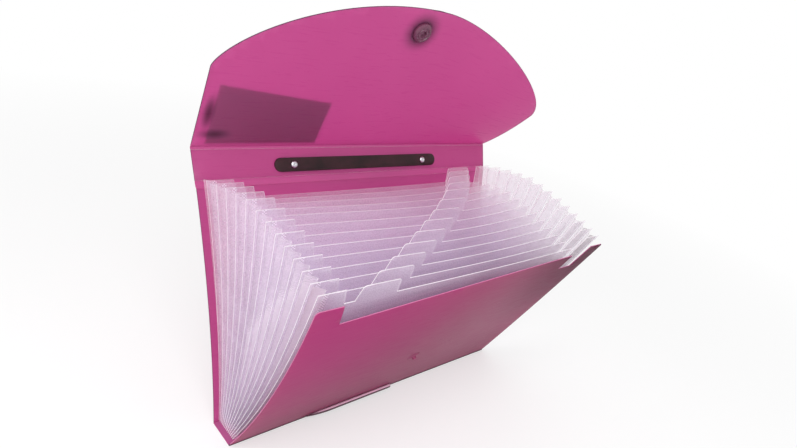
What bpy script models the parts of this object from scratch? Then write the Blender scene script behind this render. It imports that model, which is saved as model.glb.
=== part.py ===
"""Expanding file folder of translucent plastic sheet, standing on its spine and fanned open.

Frame: metres, +X along the spine to the right, +Y to the back, +Z up.
The origin is the middle of the spine's underside.
A lean is an angle from upright, positive towards the front.
"""
import math

import bmesh
import bpy
from mathutils import Matrix, Vector

# cover sheet
cover_width = 0.330
cover_thick = 0.0008
spine_depth = 0.032
back_height = 0.217
front_rise = 0.010  # the front panel stands this much higher than the back panel
strip_height = 0.028
crease_gap = 0.0004  # between the spine and the foot of a panel
lower_web = 0.006  # score band between back panel and top strip
upper_web = 0.0034  # score line between top strip and flap
web_thick = 0.0004
fit_gap = 0.0003  # between pieces that touch

# cut-out of the front panel between its two ears; the dividers have the same ears and notch depth
ear_width = 0.021
ear_slant = 0.003
ear_corner = 0.003
cutout_left_depth = 0.020
cutout_right_depth = 0.010
notch_depth = 0.031  # relief notch at the foot of the right ear
notch_width = 0.020
notch_slant = 0.002

# flap: straight sides, then one full arc from side to side
flap_side = 0.0755
flap_reach = 0.1455
flap_fullness = 1.4  # 2 is a flat arc, 1 an ellipse
flap_arc_steps = 32
curl_start = 0.012  # right of the middle
curl_columns = 8  # slices across the curled side of the flap

# pockets
divider_count = 13
divider_thick = 0.0002
divider_inset = 0.004  # each side, in from the cover's edge
divider_foot = 0.0032  # above the spine's top face
first_rise = 0.006  # the divider next to the back panel, above that panel
full_rise = 0.016  # the dividers further forward, above the same
height_step = 0.0025  # rise from one divider to the next
divider_cutout = 0.0145  # between the ears, where the index tab stands
divider_notch = 0.008  # width of the relief notch beside the right ear
tab_width = 0.036
tab_slant = 0.002
tab_corner = 0.0025
tab_margin = 0.009  # from the ear's foot to the outermost tab

# pleats that join the dividers' side edges
pleat_thick = 0.00015
pleat_leg = 0.0098  # half of the unfolded strip
pleat_gap = 0.00035
pleat_fold = 0.0005  # width of the rounded fold between its legs
pleat_margin = 0.002  # short of the divider, top and bottom

# every panel and divider bends to the same bow, which is deeper at the left
bow_left = 0.008
bow_right = 0.001
bow_rise = 0.009  # the bow's chord ends this far above the back panel
slice_height = 0.028
slice_columns = 5

# leans in degrees at rest
back_lean = -13.0
first_divider_lean = -10.5
last_divider_lean = 24.5
fan_swell = 3.0  # how far the middle dividers lean past an even fan
front_lean = 25.5
strip_lean = -22.0
flap_lean = 24.5
flap_curl = 27.5  # further lean of the flap's right end, at its crease
curl_loss = 21.0  # how much of that curl is gone at the flap's far edge

# carrying handle on the top strip
fittings_centre = -0.006  # the handle and the press stud lie on one line, left of the middle
handle_height = 0.0125  # its middle line above the strip's lower crease
plate_length = 0.184
plate_height = 0.0118
plate_thick = 0.0015
rivet_from_end = 0.018  # of the plate
strap_from_end = 0.004  # the strap is this much shorter than the plate at each end
strap_height = 0.0115
strap_thick = 0.0026
strap_rise = 0.018
strap_flat_end = 0.020
strap_columns = 16
rivet_shank_radius = 0.0016
rivet_head_radius = 0.0031
rivet_head_height = 0.0012
rivet_clearance = 0.0003

# press stud
stud_from_edge = 0.020  # in from the flap's far edge
stud_cap_radius = 0.0100
stud_cap_height = 0.0018
stud_ring_radius = 0.0085
stud_ring_height = 0.0026
stud_mouth_radius = 0.0024
stud_post_radius = 0.0019
stud_flange_radius = 0.0070
stud_flange_height = 0.0008
stud_knob_radius = 0.0021
stud_knob_height = 0.0022

# blank label on the outside of the flap
label_width = 0.096
label_height = 0.057
label_slant = 0.012  # its right side is shorter
label_thick = 0.0002
label_from_left = 0.010
label_from_crease = 0.002

# raised grip strip along the foot of the front panel
grip_length = 0.108
grip_height = 0.0056
grip_thick = 0.0038
grip_centre = -0.042
grip_foot = 0.0030
grip_round = 0.0014

round_sides = 28
seam_merge = 0.00001  # closes the seam of a turned piece
half = 0.5

# shares of a turned piece's radius or height where its outline changes
rivet_crown_share = 0.7
cap_crown_share = 0.75
ring_edge_share = 0.6
ring_mouth_share = 0.55
ring_face_share = 0.85
knob_share = 0.8
knob_edge_share = 0.7
knob_neck_share = 0.85
flange_share = 0.6

# colours (red, green, blue), roughness, metallic
magenta = ((0.55, 0.035, 0.25), 0.32, 0.0)
magenta_pale = ((0.66, 0.14, 0.40), 0.35, 0.0)
clear = ((0.78, 0.72, 0.80), 0.40, 0.0)
dark = ((0.045, 0.016, 0.022), 0.45, 0.0)
steel = ((0.72, 0.72, 0.74), 0.25, 1.0)
label_grey = ((0.16, 0.05, 0.10), 0.55, 0.0)

# derived places
half_width = cover_width * half
front_height = back_height + front_rise
first_height = back_height + first_rise
full_height = back_height + full_rise
bow_height = back_height + bow_rise
divider_half = half_width - divider_inset
axis_height = cover_thick + crease_gap * half
panel_axis = spine_depth * half - cover_thick * half
divider_axis = cover_thick + divider_foot
pitch = 2 * panel_axis / (divider_count + 1)
rivet_spacing = plate_length - 2 * rivet_from_end
strap_length = plate_length - 2 * strap_from_end
stud_reach = flap_reach - stud_from_edge
foot_radius = stud_post_radius * knob_share

for old in list(bpy.data.objects):
    bpy.data.objects.remove(old)

parts = bpy.data.collections.new("expanding_file_folder")
cutters = bpy.data.collections.new("cutters")
bpy.context.scene.collection.children.link(parts)
bpy.context.scene.collection.children.link(cutters)


def turn(lean):
    """Rotation of a piece that leans by this many degrees, about its foot."""
    return Matrix.Rotation(math.radians(lean), 4, "X")


def at(y, z, lean):
    return Matrix.Translation((0, y, z)) @ turn(lean)


def bow_depth(x):
    return bow_left + (bow_right - bow_left) * (x / cover_width + half)


def bow(x, height):
    """How far forward of its chord the common bow lies, at a height above the spine."""
    share = height / bow_height
    return -4 * bow_depth(x) * share * (1 - share)


def bow_slope(x, height):
    """Tilt of the bowed sheet at that height, forward per length up."""
    return -4 * bow_depth(x) / bow_height * (1 - 2 * height / bow_height)


def material(name, look):
    colour, roughness, metallic = look
    made = bpy.data.materials.new(name)
    made.use_nodes = True
    shader = made.node_tree.nodes["Principled BSDF"]
    shader.inputs["Base Color"].default_value = (*colour, 1)
    shader.inputs["Roughness"].default_value = roughness
    shader.inputs["Metallic"].default_value = metallic
    return made


def add(name, mesh, look, matrix):
    made = bpy.data.objects.new(name, mesh)
    made.matrix_world = matrix
    mesh.materials.append(material(name, look))
    parts.objects.link(made)
    return made


def sliced(outline, heights, widths):
    """A flat face in the XZ plane, cut along lines of constant height and width."""
    bm = bmesh.new()
    bm.faces.new([bm.verts.new((x, 0, z)) for x, z in outline])
    cuts = [(Vector((0, 0, h)), Vector((0, 0, 1))) for h in heights]
    cuts += [(Vector((c, 0, 0)), Vector((1, 0, 0))) for c in widths]
    for place, normal in cuts:
        bmesh.ops.bisect_plane(
            bm, geom=bm.verts[:] + bm.edges[:] + bm.faces[:], plane_co=place, plane_no=normal
        )
    return bm


def sheet(name, outline, look, matrix, thick, surface, heights=(), widths=()):
    """A thin sheet: the outline, bent to surface(x, z), which gives its Y, and thickened."""
    bm = sliced(outline, heights, widths)
    for v in bm.verts:
        v.co = surface(v.co.x, v.co.z)
    bmesh.ops.recalc_face_normals(bm, faces=bm.faces)
    mesh = bpy.data.meshes.new(name)
    bm.to_mesh(mesh)
    bm.free()
    made = add(name, mesh, look, matrix)
    shell = made.modifiers.new("thickness", "SOLIDIFY")
    shell.thickness = thick
    shell.offset = 0
    shell.use_even_offset = True
    return made


def corner(centre, radius, start, end, steps=5):
    """Points round a corner, angles in degrees from +X."""
    angles = [math.radians(start + (end - start) * i / steps) for i in range(steps + 1)]
    return [(centre[0] + radius * math.cos(a), centre[1] + radius * math.sin(a)) for a in angles]


def rectangle(left, right, foot, top):
    return [(left, foot), (right, foot), (right, top), (left, top)]


def pill(centre_x, centre_z, length, height, steps=8):
    r = height * half
    reach = length * half - r
    right = corner((centre_x + reach, centre_z), r, -90, 90, steps)
    left = corner((centre_x - reach, centre_z), r, 90, 270, steps)
    return right + left


def slices(foot, top):
    """Heights where every panel and divider is sliced, so that neighbours bend alike."""
    count = int(bow_height / slice_height) + 1
    return [i * slice_height for i in range(1, count + 1) if foot < i * slice_height < top]


def columns():
    """Places across the width where they are sliced."""
    return [cover_width * (i / slice_columns - half) for i in range(1, slice_columns)]


def turned(name, profile, look, matrix):
    """A round piece: a profile of (radius, height) points, run top to bottom, turned about Z."""
    mesh = bpy.data.meshes.new(name)
    mesh.from_pydata([(r, 0, z) for r, z in profile], [(i, i + 1) for i in range(len(profile) - 1)], [])
    made = add(name, mesh, look, matrix)
    screw = made.modifiers.new("turn", "SCREW")
    screw.steps = screw.render_steps = round_sides
    screw.use_smooth_shade = True
    screw.use_merge_vertices = True
    screw.merge_threshold = seam_merge
    return made


def hole(piece, name, matrix, radius, depth):
    bm = bmesh.new()
    bmesh.ops.create_cone(
        bm, cap_ends=True, segments=round_sides, radius1=radius, radius2=radius, depth=depth
    )
    mesh = bpy.data.meshes.new(name)
    bm.to_mesh(mesh)
    bm.free()
    cutter = bpy.data.objects.new(name, mesh)
    cutter.matrix_world = matrix
    cutter.hide_render = True
    cutter.display_type = "WIRE"
    cutters.objects.link(cutter)
    cut = piece.modifiers.new(name, "BOOLEAN")
    cut.operation = "DIFFERENCE"
    cut.object = cutter


# cover
def cover_surface(x, z):
    return Vector((x, bow(x, z), z))


def spine():
    bpy.ops.mesh.primitive_cube_add(size=1)
    made = bpy.context.object
    made.name = "spine_panel"
    for old in made.users_collection:
        old.objects.unlink(made)
    parts.objects.link(made)
    made.data.transform(Matrix.Diagonal((cover_width, spine_depth, cover_thick, 1)))
    made.location.z = cover_thick * half
    made.data.materials.append(material("spine_panel", magenta))


def back_panel():
    foot, top = crease_gap * half, back_height - lower_web * half
    return sheet(
        "back_panel", rectangle(-half_width, half_width, foot, top), magenta, back_frame,
        cover_thick, cover_surface, slices(foot, top), columns(),
    )


def front_outline():
    """Two ears with a wide cut-out between them, so that the index tabs can be read."""
    foot, top = crease_gap * half, front_height
    ear = half_width - ear_width
    base = ear - ear_slant
    notch = base - notch_width
    outer = corner((half_width - ear_corner, top - ear_corner), ear_corner, 0, 90)
    right = [(half_width, foot)] + outer + [(ear, top), (base, top - notch_depth)]
    middle = [(notch, top - notch_depth), (notch + notch_slant, top - cutout_right_depth)]
    left = [(-base, top - cutout_left_depth), (-ear, top)]
    far = [(-x, z) for x, z in reversed(outer)]
    return right + middle + left + far + [(-half_width, foot)]


def front_panel():
    foot = crease_gap * half
    return sheet(
        "front_panel", front_outline(), magenta, front_frame, cover_thick, cover_surface,
        slices(foot, front_height), columns(),
    )


def curl_share(x):
    """0 on the flap's left half, smoothly up to 1 at its right end."""
    share = min(1, max(0, (x - curl_start) / (half_width - curl_start)))
    return share * share * (3 - 2 * share)


def flap_point(x, z, off=0):
    """A point on the flap in its own frame; off is its distance behind the sheet.

    Each upright line of the flap is an arc: its lean starts with the whole curl and loses
    part of it on the way up.
    """
    share = curl_share(x)
    start = math.radians(flap_curl * share)
    turned_by = -math.radians(curl_loss * share) * z / flap_reach
    reach = z * (math.sin(turned_by * half) / (turned_by * half) if turned_by else 1)
    chord, end = start + turned_by * half, start + turned_by
    return Vector((
        x,
        -reach * math.sin(chord) + off * math.cos(end),
        reach * math.cos(chord) + off * math.sin(end),
    ))


def flap_outline():
    """Half-moon: straight sides that run into one arc, full at its shoulders."""
    foot = upper_web * half
    arc = []
    for i in range(flap_arc_steps + 1):
        a = math.pi * i / flap_arc_steps
        rise = max(0, math.sin(a)) ** flap_fullness
        arc.append((half_width * math.cos(a), flap_side + (flap_reach - flap_side) * rise))
    return [(-half_width, foot), (half_width, foot)] + arc


def flap():
    rows = [i * slice_height for i in range(1, int(flap_reach / slice_height) + 1)]
    curls = [curl_start + (half_width - curl_start) * i / curl_columns for i in range(curl_columns)]
    made = sheet("flap", flap_outline(), magenta, flap_frame, cover_thick, flap_point, rows, curls)
    hole(made, "flap_stud_hole", stud_frame, stud_post_radius + fit_gap, stud_ring_radius)
    return made


def top_strip():
    made = sheet(
        "top_strip", rectangle(-half_width, half_width, lower_web * half, strip_height - upper_web * half),
        magenta, strip_frame, cover_thick, lambda x, z: Vector((x, 0, z)),
    )
    for side in (-1, 1):
        hole(made, f"strip_rivet_hole_{side}", rivet_frame(side), rivet_shank_radius + rivet_clearance,
             strap_rise)
    return made


def web(name, width, depth, matrix, before, after):
    """The thin scored band between two panels, bent from one panel's plane to the other's."""
    reach = depth * half - fit_gap
    bend = math.tan(math.radians(after - before) * half)

    def surface(x, z):
        return Vector((x, -abs(z) * bend, z))

    return sheet(name, rectangle(-width, width, -reach, reach), magenta_pale, matrix, web_thick, surface, (0,))


# frames: where each piece stands at rest
back_frame = at(panel_axis, axis_height, back_lean)
front_frame = at(-panel_axis, axis_height, front_lean)
lower_crease = back_frame @ Vector((0, 0, back_height))
strip_frame = Matrix.Translation(lower_crease) @ turn(strip_lean)
upper_crease = strip_frame @ Vector((0, 0, strip_height))
flap_frame = Matrix.Translation(upper_crease) @ turn(flap_lean)
back_top_lean = back_lean - math.degrees(math.atan(bow_slope(0, back_height)))
# both look along +Z away from the inside of the folder
outward = Matrix.Rotation(math.radians(-90), 4, "X")
inward = Matrix.Rotation(math.radians(90), 4, "X")
stud_frame = flap_frame @ Matrix.Translation((fittings_centre, 0, stud_reach)) @ outward


def rivet_frame(side):
    place = (fittings_centre + side * rivet_spacing * half, 0, handle_height)
    return strip_frame @ Matrix.Translation(place) @ outward


# pockets
def divider_lean(number):
    share = (number - 1) / (divider_count - 1)
    even = first_divider_lean + (last_divider_lean - first_divider_lean) * share
    return even + fan_swell * 4 * share * (1 - share)


def divider_top(number):
    return min(full_height, first_height + height_step * (number - 1))


def divider_frame(number):
    return at(panel_axis - pitch * number, divider_axis, divider_lean(number))


def divider_surface(x, z):
    """Bent to the common bow; z is above the divider's own foot."""
    return Vector((x, bow(x, z + divider_foot) - bow(x, divider_foot), z))


def tab_middle(number):
    """Tabs step across the file from the front left to the back right."""
    reach = divider_half - ear_width - ear_slant - tab_margin - tab_width * half
    return reach - 2 * reach * (number - 1) / (divider_count - 1)


def divider(number):
    """A clear sheet with an ear at each side, and an index tab in the cut-out between them."""
    top = divider_top(number) - divider_foot
    floor = top - divider_cutout
    ear = divider_half - ear_width
    base = ear - ear_slant
    notch, notch_floor = base - divider_notch, top - notch_depth
    low = tab_middle(number) - tab_width * half
    high = low + tab_width
    shoulder, level = tab_slant + tab_corner, top - tab_corner
    right = [(divider_half, 0), (divider_half, top), (ear, top), (base, notch_floor)]
    right += [(notch, notch_floor), (notch, floor)]
    tab = [(high, floor)] + corner((high - shoulder, level), tab_corner, 0, 90, 3)
    tab += corner((low + shoulder, level), tab_corner, 90, 180, 3) + [(low, floor)]
    left = [(-base, floor), (-ear, top), (-divider_half, top), (-divider_half, 0)]
    outline = right + tab + left
    heights = [h - divider_foot for h in slices(divider_foot, divider_top(number))]
    return sheet(
        f"divider_{number:02d}", outline, clear, divider_frame(number), divider_thick,
        divider_surface, heights, columns(),
    )


def member_point(number, x, height, off):
    """A point on member 0, the back panel, or on a divider: height above the spine, off its face."""
    if number == 0:
        local, frame = cover_surface(x, height), back_frame
    else:
        local, frame = divider_surface(x, height - divider_foot), divider_frame(number)
    normal = Vector((0, 1, -bow_slope(x, height))).normalized()
    return frame @ (local + normal * off)


def pleat(number, side):
    """The strip folded between one divider and the member behind it, at one side edge."""
    back, front = number - 1, number
    frame = divider_frame(front)
    thick = cover_thick if back == 0 else divider_thick
    top = min(divider_top(front), divider_top(max(back, 1))) - pleat_margin
    foot = divider_foot + pleat_margin
    bm = bmesh.new()
    rows = []
    for height in [foot] + slices(foot, top) + [top]:
        edge = side * (divider_half - pleat_margin)
        a = member_point(back, edge, height, -thick * half - pleat_gap)
        b = member_point(front, edge, height, divider_thick * half + pleat_gap)
        gap = (b - a).length * half
        fold = math.sqrt(max(pleat_leg**2 - gap**2, pleat_fold**2))
        middle, turn_over = (a + b) * half, (b - a).normalized() * pleat_fold * half
        inner = edge - side * fold
        line = [(edge, a), (inner, middle - turn_over), (inner, middle + turn_over), (edge, b)]
        rows.append([bm.verts.new(frame.inverted() @ Vector((x, p.y, p.z))) for x, p in line])
    for low, high in zip(rows, rows[1:]):
        for i in range(len(low) - 1):
            bm.faces.new((low[i], low[i + 1], high[i + 1], high[i]))
    bmesh.ops.recalc_face_normals(bm, faces=bm.faces)
    name = f"pleat_{'left' if side < 0 else 'right'}_{number:02d}"
    mesh = bpy.data.meshes.new(name)
    bm.to_mesh(mesh)
    bm.free()
    made = add(name, mesh, clear, frame)
    shell = made.modifiers.new("thickness", "SOLIDIFY")
    shell.thickness = pleat_thick
    shell.offset = 0
    shell.use_even_offset = True
    return made


# handle
def backing_plate():
    face = -(cover_thick + plate_thick) * half - fit_gap
    made = sheet(
        "handle_backing_plate", pill(fittings_centre, handle_height, plate_length, plate_height), dark,
        strip_frame, plate_thick, lambda x, z: Vector((x, face, z)),
    )
    for side in (-1, 1):
        hole(made, f"plate_rivet_hole_{side}", rivet_frame(side), rivet_shank_radius + rivet_clearance,
             strap_rise)


def strap_rise_at(x):
    """The strap lies flat at its riveted ends and arches away from the strip between them."""
    reach = strap_length * half - strap_flat_end
    share = min(1, abs(x - fittings_centre) / reach)
    return strap_rise * (1 + math.cos(math.pi * share)) * half


def handle_strap():
    face = (cover_thick + strap_thick) * half + fit_gap
    reach = strap_length * half - strap_flat_end
    bends = [fittings_centre + reach * (2 * i / strap_columns - 1) for i in range(strap_columns + 1)]
    made = sheet(
        "handle_strap", pill(fittings_centre, handle_height, strap_length, strap_height), dark,
        strip_frame, strap_thick,
        lambda x, z: Vector((x, face + strap_rise_at(x), z)), (), bends,
    )
    for side in (-1, 1):
        hole(made, f"strap_rivet_hole_{side}", rivet_frame(side), rivet_shank_radius + rivet_clearance,
             strap_rise)


def rivet(side):
    """Head on the backing plate, shank through all layers, head on the strap."""
    inner = -(cover_thick * half + plate_thick + 2 * fit_gap)
    outer = cover_thick * half + strap_thick + 2 * fit_gap
    soft = rivet_head_radius * rivet_crown_share
    profile = [
        (0, outer + rivet_head_height), (soft, outer + rivet_head_height),
        (rivet_head_radius, outer + rivet_head_height * half), (rivet_head_radius, outer),
        (rivet_shank_radius, outer), (rivet_shank_radius, inner), (rivet_head_radius, inner),
        (rivet_head_radius, inner - rivet_head_height * half), (soft, inner - rivet_head_height),
        (0, inner - rivet_head_height),
    ]
    turned(f"rivet_{'left' if side < 0 else 'right'}", profile, steel, rivet_frame(side))


# press stud
def flap_stud_cap():
    """Cap outside the flap, its post through the sheet into the ring."""
    face = cover_thick * half + fit_gap
    profile = [
        (0, face + stud_cap_height), (stud_cap_radius * cap_crown_share, face + stud_cap_height),
        (stud_cap_radius, face + stud_cap_height * half), (stud_cap_radius, face),
        (stud_post_radius, face), (stud_post_radius, -face - stud_ring_height * half),
        (0, -face - stud_ring_height * half),
    ]
    turned("flap_stud_cap", profile, magenta, stud_frame)


def flap_stud_socket():
    """Ring inside the flap, with the round mouth that grips the knob on the front panel."""
    face = -cover_thick * half - fit_gap
    low = face - stud_ring_height
    bore = stud_post_radius + fit_gap
    edge = face - stud_ring_height * ring_edge_share
    profile = [
        (bore, face), (stud_ring_radius, face), (stud_ring_radius, edge),
        (stud_ring_radius * ring_face_share, low), (stud_mouth_radius + fit_gap, low),
        (bore + fit_gap, edge), (bore, face - stud_ring_height * ring_mouth_share), (bore, face),
    ]
    turned("flap_stud_socket", profile, magenta_pale, stud_frame)


def front_stud_place():
    """Where the closed flap's stud meets the front panel."""
    height = back_height - stud_reach + (strip_height - spine_depth)
    place = Matrix.Translation((fittings_centre, bow(fittings_centre, height), height))
    tilt = Matrix.Rotation(-math.atan(bow_slope(fittings_centre, height)), 4, "X")
    return front_frame @ place @ tilt @ inward


def front_stud():
    """Knob outside the front panel with its foot through the sheet, and a flange inside."""
    frame = front_stud_place()
    face = cover_thick * half + fit_gap
    neck = face + stud_flange_height
    inner = -face - stud_flange_height * flange_share
    knob = [
        (0, neck + stud_knob_height), (stud_knob_radius * knob_share, neck + stud_knob_height),
        (stud_knob_radius, neck + stud_knob_height * knob_edge_share),
        (stud_knob_radius * knob_neck_share, neck),
        (stud_flange_radius, face + stud_flange_height * half), (stud_flange_radius, face),
        (foot_radius, face), (foot_radius, -face), (stud_flange_radius, -face),
        (stud_flange_radius, inner), (0, inner),
    ]
    turned("front_stud", knob, magenta_pale, frame)
    return frame


# label and grip strip
def label():
    left = -half_width + label_from_left
    off = (cover_thick + label_thick) * half + fit_gap
    foot = upper_web * half + label_from_crease
    right, top = left + label_width, foot + label_height
    outline = [(left, foot), (right, foot), (right, top - label_slant), (left, top)]
    sheet(
        "blank_label", outline, label_grey, flap_frame, label_thick,
        lambda x, z: flap_point(x, z, off),
    )


def grip():
    """Raised strip along the foot of the front panel, its ends and edges rounded."""
    middle = grip_foot + grip_height * half
    off = (cover_thick + grip_thick) * half + fit_gap

    def surface(x, z):
        slope = bow_slope(x, middle)
        normal = Vector((0, 1, -slope)).normalized()
        return Vector((x, bow(x, middle) + slope * (z - middle), z)) - normal * off

    made = sheet(
        "front_grip_strip", pill(grip_centre, middle, grip_length, grip_height), magenta_pale,
        front_frame, grip_thick, surface,
    )
    soft = made.modifiers.new("round", "BEVEL")
    soft.width = grip_round
    soft.segments = 2
    soft.limit_method = "ANGLE"


spine()
back_panel()
panel = front_panel()
top_strip()
flap()
web("lower_score_band", half_width, lower_web,
    Matrix.Translation(lower_crease) @ turn((back_top_lean + strip_lean) * half),
    back_top_lean, strip_lean)
web("upper_score_line", half_width, upper_web,
    Matrix.Translation(upper_crease) @ turn((strip_lean + flap_lean) * half),
    strip_lean, flap_lean)
for count in range(1, divider_count + 1):
    divider(count)
    for hand in (-1, 1):
        pleat(count, hand)
backing_plate()
handle_strap()
for hand in (-1, 1):
    rivet(hand)
flap_stud_cap()
flap_stud_socket()
hole(panel, "front_stud_hole", front_stud(), foot_radius + fit_gap, stud_ring_radius)
label()
grip()
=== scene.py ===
import math
import random

import bmesh
import bpy
from mathutils import Matrix, Vector


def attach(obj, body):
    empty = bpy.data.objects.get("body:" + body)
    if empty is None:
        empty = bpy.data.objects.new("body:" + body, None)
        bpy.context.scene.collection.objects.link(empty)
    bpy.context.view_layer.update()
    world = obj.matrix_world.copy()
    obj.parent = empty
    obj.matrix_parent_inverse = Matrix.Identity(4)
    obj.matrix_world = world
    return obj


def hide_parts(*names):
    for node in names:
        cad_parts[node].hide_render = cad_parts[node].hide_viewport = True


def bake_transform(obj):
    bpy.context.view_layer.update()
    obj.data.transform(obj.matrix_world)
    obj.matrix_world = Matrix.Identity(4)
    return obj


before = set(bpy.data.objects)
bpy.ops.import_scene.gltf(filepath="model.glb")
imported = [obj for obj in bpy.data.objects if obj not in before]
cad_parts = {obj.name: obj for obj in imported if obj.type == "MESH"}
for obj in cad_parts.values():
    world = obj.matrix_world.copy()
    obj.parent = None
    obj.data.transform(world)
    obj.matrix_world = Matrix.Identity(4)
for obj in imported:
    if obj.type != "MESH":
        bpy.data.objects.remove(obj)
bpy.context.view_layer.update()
scene = bpy.context.scene
print("frame loaded:", len(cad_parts), "nodes")

# the folder as it stands: metres, leans in degrees from upright, positive to the front
folder = {
    "width": 0.330, "cover": 0.0008, "spineDepth": 0.032, "backHeight": 0.217, "frontHeight": 0.227,
    "stripHeight": 0.028, "creaseGap": 0.0004, "lowerWeb": 0.006, "upperWeb": 0.0034, "fitGap": 0.0003,
    "bowLeft": 0.008, "bowRight": 0.001, "bowHeight": 0.226,
    "backLean": -13.0, "frontLean": 25.5, "stripLean": -22.0, "flapLean": 24.5,
    "edgeRound": 0.00018, "cell": (0.011, 0.009),
}
halfWidth = folder["width"] / 2
axisHeight = folder["cover"] + folder["creaseGap"] / 2
panelAxis = (folder["spineDepth"] - folder["cover"]) / 2


def turned(degrees, axis="X"):
    return Matrix.Rotation(math.radians(degrees), 4, axis)


def standing(y, z, lean):
    return Matrix.Translation((0, y, z)) @ turned(lean)


def bowDepth(x):
    return folder["bowLeft"] + (folder["bowRight"] - folder["bowLeft"]) * (x / folder["width"] + 0.5)


def bow(x, height):  # all sheets of the file share one bow, deeper at the left
    share = height / folder["bowHeight"]
    return -4 * bowDepth(x) * share * (1 - share)


def bowSlope(x, height):
    return -4 * bowDepth(x) / folder["bowHeight"] * (1 - 2 * height / folder["bowHeight"])


backPlace = standing(panelAxis, axisHeight, folder["backLean"])
frontPlace = standing(-panelAxis, axisHeight, folder["frontLean"])
lowerCrease = backPlace @ Vector((0, 0, folder["backHeight"]))
stripPlace = Matrix.Translation(lowerCrease) @ turned(folder["stripLean"])
upperCrease = stripPlace @ Vector((0, 0, folder["stripHeight"]))
flapPlace = Matrix.Translation(upperCrease) @ turned(folder["flapLean"])


# materials
noiseRange = (0.3, 0.7)  # where most values of a noise lie
white = (1, 1, 1)


class NodeBench:
    # a small helper round the node tree of one material, or of the world
    def __init__(self, name, kind="Material"):
        self.owner = (bpy.data.worlds if kind == "World" else bpy.data.materials).new(name)
        self.owner.use_nodes = True
        self.nodes, self.links = self.owner.node_tree.nodes, self.owner.node_tree.links
        self.nodes.clear()
        self.output = self.add("Output" + kind)

    def add(self, kind, values=(), **settings):
        node = self.nodes.new("ShaderNode" + kind)
        for key, value in settings.items():
            setattr(node, key, value)
        for name, value in dict(values).items():
            socket = node.inputs[name]
            if isinstance(value, bpy.types.NodeSocket):
                self.links.new(value, socket)
            else:
                socket.default_value = (*value, 1) if socket.type == "RGBA" else value
        return node

    def uv(self, scale=(1, 1, 1), turn=0):
        start = self.add("UVMap", uv_map="flat")
        return self.add("Mapping", {"Vector": start.outputs[0], "Scale": scale,
                                    "Rotation": (0, 0, math.radians(turn))}).outputs[0]

    def place(self, scale=(1, 1, 1)):
        start = self.add("TexCoord")
        return self.add("Mapping", {"Vector": start.outputs["Object"], "Scale": scale}).outputs[0]

    def split(self, vector):
        return self.add("SeparateXYZ", {0: vector}).outputs

    def length(self, vector):
        return self.add("VectorMath", {0: vector}, operation="LENGTH").outputs["Value"]

    def noise(self, vector, scale, detail=3.0, roughness=0.55, flat=False):
        return self.add("TexNoise", {"Vector": vector, "Scale": scale, "Detail": detail,
                                     "Roughness": roughness},
                        noise_dimensions="2D" if flat else "3D").outputs[0]

    def math(self, operation, *values):
        return self.add("Math", dict(enumerate(values)), operation=operation).outputs[0]

    def ramp(self, value, lowColour, highColour, low=noiseRange[0], high=noiseRange[1]):
        node = self.add("ValToRGB", {0: value})
        for element, at, colour in zip(node.color_ramp.elements, (low, high), (lowColour, highColour)):
            element.position, element.color = at, (*colour, 1)
        return node.outputs[0]

    def between(self, value, low, high, fromLow=0.0, fromHigh=1.0):
        return self.add("MapRange", {"Value": value, "From Min": fromLow, "From Max": fromHigh,
                                     "To Min": low, "To Max": high}).outputs[0]

    def bump(self, height, strength, distance):
        return self.add("Bump", {"Height": height, "Strength": strength, "Distance": distance}).outputs[0]

    def mix(self, share, first, second):
        return self.add("MixShader", {0: share, 1: first, 2: second}).outputs[0]

    def blend(self, share, first, second):  # of two colours
        return self.add("Mix", {0: share, 6: first, 7: second}, data_type="RGBA").outputs[2]

    def spot(self, vector, centre, size):  # 1 in the middle, softly down to 0 at its rim
        moved = self.add("Mapping", {"Vector": vector, "Scale": (1 / size[0], 1 / size[1], 0),
                                     "Location": (-centre[0] / size[0], -centre[1] / size[1], 0)})
        return self.add("MapRange", {"Value": self.length(moved.outputs[0]), "To Min": 1.0, "To Max": 0.0},
                        interpolation_type="SMOOTHSTEP").outputs[0]

    def seen(self):  # 1 for what the camera sees straight, in a gloss or through a clear sheet
        rays = self.add("LightPath").outputs
        return self.math("MAXIMUM", rays["Is Camera Ray"],
                         self.math("MAXIMUM", rays["Is Glossy Ray"], rays["Is Transmission Ray"]))

    def finish(self, shader):
        self.links.new(shader, self.output.inputs["Surface"])
        return self.owner


def rgb(red, green, blue):  # a colour as the eye reads it, 0 to 255
    return tuple(((c / 255 + 0.055) / 1.055) ** 2.4 if c > 10 else c / 255 / 12.92
                 for c in (red, green, blue))


plasticIor = 1.49
# painted shade for rims that face down or sit in a crease
rimShade = rgb(84, 40, 62)
# the texture of all cover sheets: scale and detail of each noise, its shares, strength and depth
sheetFinish = {"cloud": (9, 4), "grain": (2200, 1), "grainShare": 0.35, "scuffScale": (40, 420, 1),
               "scuffTurn": 8, "scuffs": (1.0, 4, 0.7), "scuffShare": 0.65, "bump": (0.16, 0.00012),
               "smoother": 0.07, "rougher": 0.12}
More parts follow.
